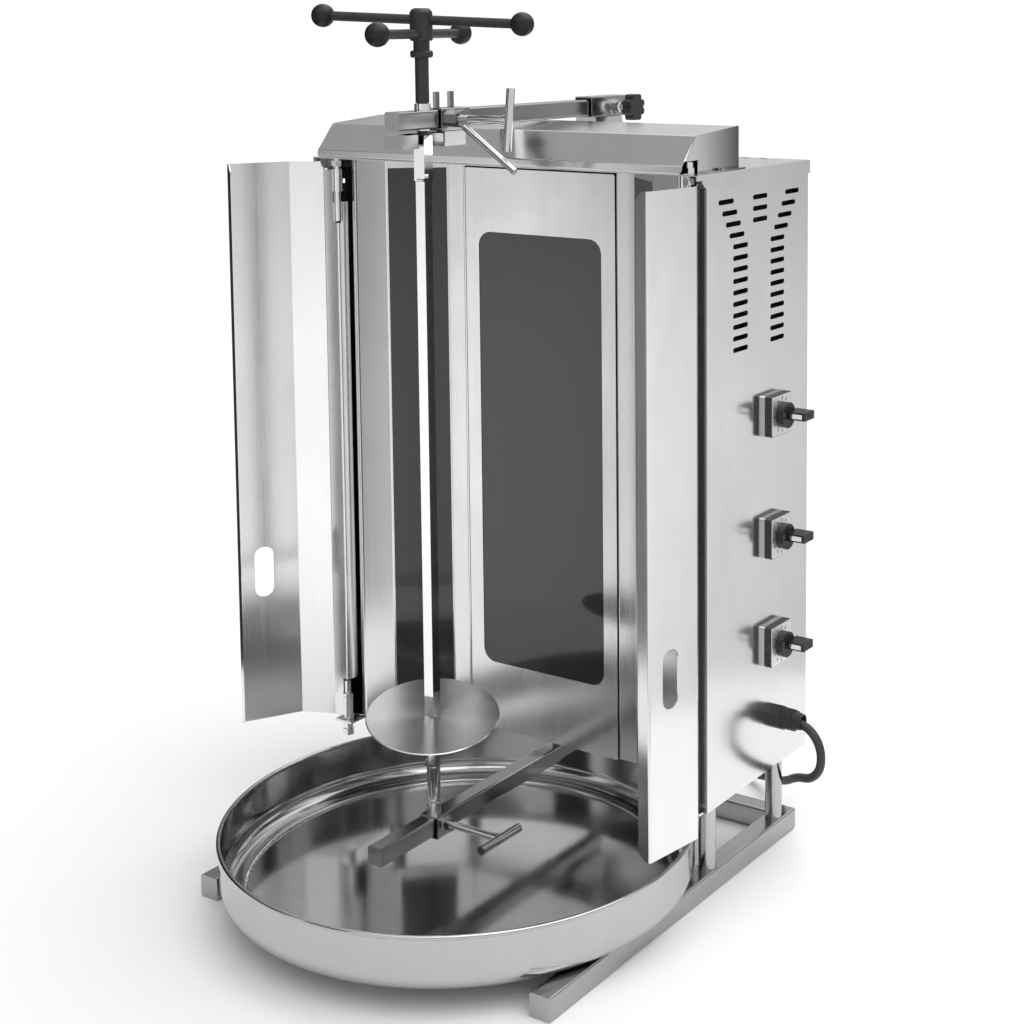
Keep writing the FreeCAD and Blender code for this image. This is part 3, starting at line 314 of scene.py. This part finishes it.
SPIT = (0.0, -373.0)
M = {
    "upright": stainless("steel_brushed_upright", "z"),
    "crosswise": stainless("steel_brushed_crosswise", "x"),
    "lengthwise": stainless("steel_brushed_lengthwise", "y", 0.16, 0.25),
    # tubes and posts: the same steel given darker tones (0.42, 0.5), painted shade
    "tube": stainless("steel_tube_painted_shade", "y", 0.14, 0.22, 0.42),
    "tube_cross": stainless("steel_tube_painted_shade_cross", "x", 0.14, 0.22, 0.42),
    "post": stainless("steel_post", "z", 0.14, 0.22, 0.5),
    # side panels: the front fold is darkened to a quarter of the tone, a painted dark reflection
    "side": stainless("steel_side_panel", "z", 0.14, 0.21, 0.78, painted_reflection_grade=(1, -235.6, -235.0, 0.24, 1.0)),
    # hood ends: the tone falls from 0.85 at the front to 0.16 further back, a painted reflection
    "hood_end": stainless("steel_hood_end", "z", 0.06, 0.1, 0.8, 0.01, painted_reflection_grade=(1, -236.0, -152.0, 0.85, 0.16)),
    "door": stainless("steel_door", "z", 0.12, 0.18, 0.82),
    "hood": stainless("steel_hood", "x", 0.13, 0.2, 0.8),
    # pan: the same steel given a darker tone (0.52) for the shade inside the body, painted shade
    "pan": stainless("steel_pan", "x", 0.08, 0.14, 0.52, 0.012, 0.4),
    "bright": polished("steel_polished"),
    "plated": polished("steel_plated", 0.6, 0.1, 0.18),
    "mirror": polished("steel_mirror", 0.93, 0.05, 0.1),
    "disc": turned_steel_with_painted_sheen("steel_disc", SPIT, 0.66, 0.2, 0.28),
    "aluminised": stainless("steel_aluminised", "x", 0.3, 0.45, 0.7),
    "black_paint": black_paint("black_enamel"),
    "black_gloss": plastic("plastic_black_gloss", 0.012, 0.018, 0.2, 0.3, 900.0, 0.03),
    "black_satin": plastic("plastic_black_satin", 0.012, 0.02, 0.3, 0.4, 900.0, 0.03),
    "black_matte": plastic("plastic_black_matte", 0.02, 0.032, 0.36, 0.48, 1400.0, 0.08),
    # switch boxes: below X 269.5 the box is steel-grey, a painted reflection of the side panel; beyond it,
    # black
    "switch_box": two_part("switch_box_painted_reflection_black", 0, 269.5, (0.5, 1.0, 0.32), (0.016, 0.0, 0.28)),
    "star_knob": two_part("star_knob_steel_black", 0, 29.8, (0.82, 1.0, 0.2), (0.022, 0.0, 0.4)),
    "face": stainless("switch_face_satin", "y", 0.36, 0.44, 0.95, 0.006),
    "glass": dark_glass("glass_black"),
    "rubber": rubber("cord_rubber"),
    "fibre": fibre("ceramic_fibre"),
    "quartz": quartz("quartz_tube"),
}

NODE_MATERIALS = {
    "lengthwise": ["top_cover"],
    "tube": ["left_rail", "right_rail", "lower_arm", "arm_stub", "upper_arm", "rear_sleeve", "lower_collar",
             "upper_collar", "spit_catch"],
    "tube_cross": ["rear_cross_tube"],
    "post": ["support_posts"],
    "crosswise": ["floor_plate", "sleeve_stand"],
    "side": ["left_side_panel", "right_side_panel"],
    "hood_end": ["hood_end_plates"],
    "upright": ["back_panel", "left_wing", "right_wing", "centre_panel", "hinge_brackets"],
    "door": ["left_door", "right_door"],
    "hood": ["hood_shell"],
    "pan": ["drip_pan"],
    "disc": ["spit_disc"],
    "mirror": ["spit_bar", "spit_bush", "spit_sleeve"],
    "bright": ["hinge_bolts", "seat_boss", "spit_shank"],
    "plated": ["lower_clamp_screw", "upper_clamp_screw", "catch_lever"],
    "aluminised": ["glass_retainer", "reflector_trays"],
    "black_paint": ["spit_top_rod", "handle_hub", "handle_rods"],
    "black_gloss": ["top_switch_knob", "middle_switch_knob", "bottom_switch_knob"],
    "black_satin": ["handle_balls"],
    "black_matte": ["cable_gland", "mains_plug", "terminal_block", "switch_bodies"],
    "switch_box": ["switch_plates"],
    "star_knob": ["star_knob"],
    "face": ["switch_faces"],
    "glass": ["centre_glass", "left_wing_glass", "right_wing_glass"],
    "fibre": ["insulation_block"],
    "quartz": ["heating_tubes"],
    "rubber": ["power_cord", "cord_coil"],
}


def paint_nodes():
    for key, names in NODE_MATERIALS.items():
        for name in names:
            mesh = bpy.data.objects[name].data
            mesh.materials.clear()
            mesh.materials.append(M[key])


paint_nodes()

# ------------------------------------------------------------------ mains cord

CORD_RADIUS = 5.0 * MM
COIL_CENTRE = (-60.0, 118.0)
COIL_RADIUS = 60.5
COIL_TURNS = 3.5
STEPS_PER_TURN = 16
LYING = 5.2
ROUTE = [
    (275.5, -84.5, 178.4), (304.0, -84.5, 178.4), (324.6, -85.0, 157.4), (324.6, -82.5, 128.0),
    (304.6, -69.5, 106.0), (266.0, -30.0, 86.0), (222.0, 20.0, 51.0), (176.0, 72.0, 26.0),
    (130.0, 106.0, 8.0), (74.0, 110.0, LYING), (18.0, 92.0, LYING), (-36.0, 58.0, LYING),
]
GAP = 10.7
HUMP = 4.2


def coil_point(turn):
    """Centre line of the coil after a number of turns, clockwise from its near side."""
    whole = int(turn)
    part = turn - whole
    outer = COIL_RADIUS - GAP * part
    if whole == 0:
        radius, height = outer, LYING
    elif whole == 1:
        lean = math.pi / 2 * part
        radius, height = outer - GAP * math.cos(lean), LYING + GAP * math.sin(lean)
    elif whole == 2:
        radius = COIL_RADIUS - GAP + GAP * part
        height = LYING + GAP + HUMP * math.sin(math.pi * part)
    else:
        radius, height = COIL_RADIUS + 6.0 * part, LYING + GAP
    angle = -math.pi / 2 - 2 * math.pi * turn
    return (COIL_CENTRE[0] + radius * math.cos(angle), COIL_CENTRE[1] + radius * math.sin(angle), height)


def make_cord():
    """One smooth cord: the free run, the coil's turns and the tail that goes into the plug."""
    points = list(ROUTE)
    last = int(COIL_TURNS * STEPS_PER_TURN)
    points += [coil_point(i / STEPS_PER_TURN) for i in range(1, last + 1)]
    end = points[-1]
    points += [(end[0] + 22.0, end[1] + 0.5, end[2] + 1.0), (end[0] + 42.0, end[1] + 0.6, 17.2)]
    curve = bpy.data.curves.new("mains_cord", "CURVE")
    curve.dimensions = "3D"
    curve.bevel_depth = CORD_RADIUS
    curve.bevel_resolution = 5
    curve.resolution_u = 8
    spline = curve.splines.new("NURBS")
    spline.points.add(len(points) - 1)
    for control, (x, y, z) in zip(spline.points, points):
        control.co = (x * MM, y * MM, z * MM, 1.0)
    spline.order_u = 3
    spline.use_endpoint_u = True
    cord = bpy.data.objects.new("mains_cord", curve)
    bpy.context.scene.collection.objects.link(cord)
    curve.materials.append(M["rubber"])
    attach(cord, "frame")
    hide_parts("power_cord", "cord_coil")


make_cord()

# ------------------------------------------------------------------ small details


def add_piece(name, mesh, material, body):
    piece = bpy.data.objects.new(name, mesh)
    bpy.context.scene.collection.objects.link(piece)
    mesh.materials.append(material)
    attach(piece, body)


def chamfered(boxes, bevel):
    """One mesh of boxes with broken edges; each box is (centre, size, turn about X in degrees)."""
    work = bmesh.new()
    for centre, size, turn in boxes:
        made = bmesh.ops.create_cube(work, size=1.0)["verts"]
        bmesh.ops.scale(work, vec=Vector(size) * MM, verts=made)
        bmesh.ops.rotate(work, cent=(0, 0, 0), matrix=Matrix.Rotation(math.radians(turn), 3, "X"), verts=made)
        bmesh.ops.translate(work, vec=Vector(centre) * MM, verts=made)
    bmesh.ops.bevel(work, geom=work.edges[:], offset=bevel * MM, segments=2, affect="EDGES", profile=0.6)
    mesh = bpy.data.meshes.new("chamfered")
    work.to_mesh(mesh)
    work.free()
    return mesh


def lathe(profile, axis, centres, sides=28, ripple=0.0):
    """Turned solids along x or y; profile is (radius, distance along the axis) from end to end."""
    vertices = []
    faces = []
    for centre in centres:
        base = len(vertices)
        for radius, along in profile:
            for i in range(sides):
                angle = 2 * math.pi * i / sides
                wave = 1.0 + ripple * math.sin(9 * angle)
                a = radius * wave * math.cos(angle)
                b = radius * wave * math.sin(angle)
                offset = (along, a, b) if axis == "x" else (b, along, a)
                vertices.append(tuple((c + o) * MM for c, o in zip(centre, offset)))
        for ring in range(len(profile) - 1):
            for i in range(sides):
                j = (i + 1) % sides
                low = base + ring * sides
                faces.append((low + i, low + j, low + sides + j, low + sides + i))
        top = base + (len(profile) - 1) * sides
        faces.append(tuple(base + i for i in reversed(range(sides))))
        faces.append(tuple(top + i for i in range(sides)))
    mesh = bpy.data.meshes.new("turned")
    mesh.from_pydata(vertices, [], faces)
    mesh.update()
    for face in mesh.polygons:
        face.use_smooth = len(face.vertices) == 4
    return mesh


SWITCH_Y = -94.0
SWITCHES = (("top", 533.0), ("middle", 394.3), ("bottom", 269.5))
SWITCH_FACE_X = 279.1
MARK_RADIUS = 18.4
INSERT_X = 298.0
LOCK_NUT_X = 22.2
COLLAR_FACE_X = 13.3
KNOB_SCREW = (-32.5, 868.5)
LOWER_SCREW = (-367.5, 98.9)
BACK_SCREW_Y = -8.9
LID_SCREW_Y = -7.4
LID_SCREW_Z = 804.5


def switch_details():
    """Scale marks on the face plates and the bright insert on the end of each grip."""
    for name, z in SWITCHES:
        marks = []
        for turn in range(-120, 121, 30):
            angle = math.radians(turn)
            y = SWITCH_Y - MARK_RADIUS * math.cos(angle)
            marks.append(((SWITCH_FACE_X, y, z + MARK_RADIUS * math.sin(angle)), (0.25, 3.6, 0.9), -turn))
        add_piece("switch_marks_" + name, chamfered(marks, 0.05), M["black_matte"], "frame")
        insert = [((INSERT_X, SWITCH_Y - 3.1, z), (15.0, 0.8, 5.4), 0)]
        add_piece("grip_insert_" + name, chamfered(insert, 0.25), M["bright"], name + "_switch")


def knob_nut():
    """Hexagonal lock nut on the star knob's screw."""
    profile = [(6.2, 0.0), (7.2, 0.7), (7.2, 4.6), (6.2, 5.3)]
    mesh = lathe(profile, "x", [(LOCK_NUT_X, *KNOB_SCREW)], 6)
    for face in mesh.polygons:
        face.use_smooth = False
    add_piece("knob_lock_nut", mesh, M["bright"], "star_knob")


def panel_screws():
    """Pan-head screws that hold the back panel and the rear edge of the lid."""
    profile = [(3.6, 0.0), (3.6, 0.5), (3.2, 1.3), (2.2, 1.9), (0.9, 2.1)]
    outer = [(x, BACK_SCREW_Y, z) for x in (-259.0, 259.0) for z in range(160, 641, 160)]
    add_piece("back_panel_screws", lathe(profile, "y", outer), M["bright"], "frame")
    lid = [(x, LID_SCREW_Y, LID_SCREW_Z) for x in (-200.0, 0.0, 200.0)]
    add_piece("lid_screws", lathe(profile, "y", lid), M["bright"], "frame")


def weld_beads():
    """Rippled fillets where the weld nuts meet the sleeves."""
    profile = [(8.4, -0.1), (9.3, 0.2), (9.0, 0.8), (8.2, 1.2)]
    places = (("weld_rear_sleeve", (COLLAR_FACE_X, *KNOB_SCREW), "frame"),
              ("weld_lower_collar", (COLLAR_FACE_X, *LOWER_SCREW), "lower_slide"))
    for name, centre, body in places:
        add_piece(name, lathe(profile, "x", [centre], 54, 0.025), M["tube"], body)


def cord_tie():
    """Fabric strap around the coil, made of one flat band bent round the turns."""
    loop = [(-18.0, 3.0), (-14.0, 0.6), (14.0, 0.6), (18.0, 3.0), (19.5, 12.0), (18.0, 24.0), (12.0, 27.6),
            (-12.0, 27.6), (-18.0, 24.0), (-19.5, 12.0)]
    half_span = 19.5
    half_height = 12.0
    half_width = 7.0
    thickness = 1.2
    middle = (COIL_CENTRE[0] - 52.0, COIL_CENTRE[1])
    vertices = []
    for width in (-half_width, half_width):
        for swell in (0.0, thickness):
            grow = 1.0 + swell / half_span
            for across, height in loop:
                lift = height + (swell if height > half_height else 0.0)
                vertices.append(((middle[0] + across * grow) * MM, (middle[1] + width) * MM, lift * MM))
    count = len(loop)
    faces = []
    for i in range(count):
        j = (i + 1) % count
        a, b, c, d = i, count + i, 2 * count + i, 3 * count + i
        a2, b2, c2, d2 = j, count + j, 2 * count + j, 3 * count + j
        faces += [(a, a2, b2, b), (c, d, d2, c2), (a, c, c2, a2), (b, b2, d2, d)]
    mesh = bpy.data.meshes.new("strap")
    mesh.from_pydata(vertices, [], faces)
    mesh.update()
    add_piece("cord_strap", mesh, M["rubber"], "frame")


def painted_shade_sheets():
    """Black sheets inside the body, close behind the vent slots: painted shade seen through the slots."""
    sheets = [((0.0, -17.0, 450.0), (500.0, 0.8, 600.0), 0)]
    sheets += [((x, -122.0, 700.0), (0.8, 190.0, 190.0), 0) for x in (-254.0, 254.0)]
    add_piece("painted_shade_sheets", chamfered(sheets, 0.2), M["black_matte"], "frame")


switch_details()
painted_shade_sheets()
knob_nut()
panel_screws()
weld_beads()
cord_tie()

# ------------------------------------------------------------------ stage, lights

FLOOR_RADIUS = 0.85
FLOOR_CENTRE_Y = -0.2
FLOOR_Z = -0.0005


def make_stage():
    mesh = bpy.data.meshes.new("floor")
    rim = []
    for degrees in range(0, 360, 5):
        angle = math.radians(degrees)
        across = FLOOR_RADIUS * math.cos(angle)
        along = FLOOR_RADIUS * math.sin(angle) + FLOOR_CENTRE_Y
        rim.append((across, along, FLOOR_Z))
    mesh.from_pydata(rim, [], [tuple(range(len(rim)))])
    floor = bpy.data.objects.new("floor", mesh)
    bpy.context.scene.collection.objects.link(floor)
    g = Graph("floor_pale")
    tone = g.noise(g.coords(), 2.0, 2.0)
    g.link(g.blend(tone, (0.9, 0.9, 0.9), (0.92, 0.92, 0.92)), g.shader.inputs["Base Color"])
    g.set(Roughness=0.9, Specular_IOR_Level=0.1)
    mesh.materials.append(g.material)


# brightness of the studio around the machine, low down, by direction in degrees from +X
AROUND = [
    (-180, 0.03), (-165, 0.03), (-155, 0.4), (-147, 0.15), (-140, 0.1), (-134, 0.45), (-130, 1.1),
    (-124, 1.1), (-122, 0.05), (-102, 0.05), (-100, 1.0), (-88, 1.1), (-70, 1.0), (-49, 0.8), (-30, 0.9),
    (-14, 0.85), (20, 0.9), (41, 0.95), (46, 0.25), (52, 0.25), (57, 1.0), (60, 0.8), (63, 0.6), (75, 0.35),
    (100, 0.5), (123, 0.9), (140, 0.3), (150, 0.05), (165, 0.03), (180, 0.03),
]
# the same for what is above
OVERHEAD = [
    (-180, 0.35), (-150, 0.4), (-120, 1.0), (-60, 1.9), (60, 2.2), (120, 2.0), (150, 0.8), (180, 0.35),
]
SEEN_WHITE = 1.05


def make_world():
    """White where the camera sees it; soft boxes and dark flags where the machine reflects it."""
    world = bpy.data.worlds.new("studio")
    bpy.context.scene.world = world
    world.use_nodes = True
    tree = world.node_tree
    tree.nodes.clear()

    def maths(operation, *values):
        node = tree.nodes.new("ShaderNodeMath")
        node.operation = operation
        for socket, value in zip(node.inputs, values):
            if isinstance(value, (int, float)):
                socket.default_value = value
            else:
                tree.links.new(value, socket)
        return node.outputs[0]

    def ramp(factor, stops):
        node = tree.nodes.new("ShaderNodeValToRGB")
        elements = node.color_ramp.elements
        while len(elements) < len(stops):
            elements.new(0.5)
        for element, (degrees, _) in zip(elements, stops):
            element.position = (degrees + 180.0) / 360.0
        for element, (_, level) in zip(elements, stops):
            element.color = (level, level, level, 1.0)
        tree.links.new(factor, node.inputs["Fac"])
        return node.outputs["Color"]

    def between(value, start, end, low, high):
        node = tree.nodes.new("ShaderNodeMapRange")
        node.interpolation_type = "SMOOTHSTEP"
        for name, number in (("From Min", start), ("From Max", end), ("To Min", low), ("To Max", high)):
            node.inputs[name].default_value = number
        tree.links.new(value, node.inputs["Value"])
        return node.outputs["Result"]

    coords = tree.nodes.new("ShaderNodeTexCoord")
    split = tree.nodes.new("ShaderNodeSeparateXYZ")
    tree.links.new(coords.outputs["Generated"], split.inputs[0])
    x, y, z = split.outputs
    turn = maths("ADD", maths("MULTIPLY", maths("ARCTAN2", y, x), 0.5 / math.pi), 0.5)
    around = ramp(turn, AROUND)
    overhead = ramp(turn, OVERHEAD)
    low_falloff = maths("MULTIPLY", maths("MULTIPLY", around, between(z, -0.6, -0.25, 0.5, 1.0)),
                        between(z, -0.2, -0.02, 1.12, 0.74))
    high = between(z, 0.42, 0.75, 0.0, 1.0)
    level = maths("ADD", maths("MULTIPLY", low_falloff, maths("SUBTRACT", 1.0, high)),
                  maths("MULTIPLY", overhead, high))
    seen = tree.nodes.new("ShaderNodeLightPath").outputs["Is Camera Ray"]
    unseen = maths("SUBTRACT", 1.0, seen)
    strength = maths("ADD", maths("MULTIPLY", level, unseen), maths("MULTIPLY", seen, SEEN_WHITE))
    background = tree.nodes.new("ShaderNodeBackground")
    background.inputs["Color"].default_value = (1.0, 1.0, 1.0, 1.0)
    tree.links.new(strength, background.inputs["Strength"])
    output = tree.nodes.new("ShaderNodeOutputWorld")
    tree.links.new(background.outputs[0], output.inputs["Surface"])


def area_light(name, at, aim, size, power):
    data = bpy.data.lights.new(name, "AREA")
    data.shape = "RECTANGLE"
    data.size, data.size_y = size
    data.energy = power
    light = bpy.data.objects.new(name, data)
    bpy.context.scene.collection.objects.link(light)
    light.location = at
    light.rotation_euler = (Vector(aim) - Vector(at)).to_track_quat("-Z", "Y").to_euler()


make_stage()
make_world()
area_light("top_box", (0.5, 0.3, 3.2), (0, -0.2, 0.0), (2.4, 2.4), 12)
bpy.context.scene.view_settings.view_transform = "Standard"
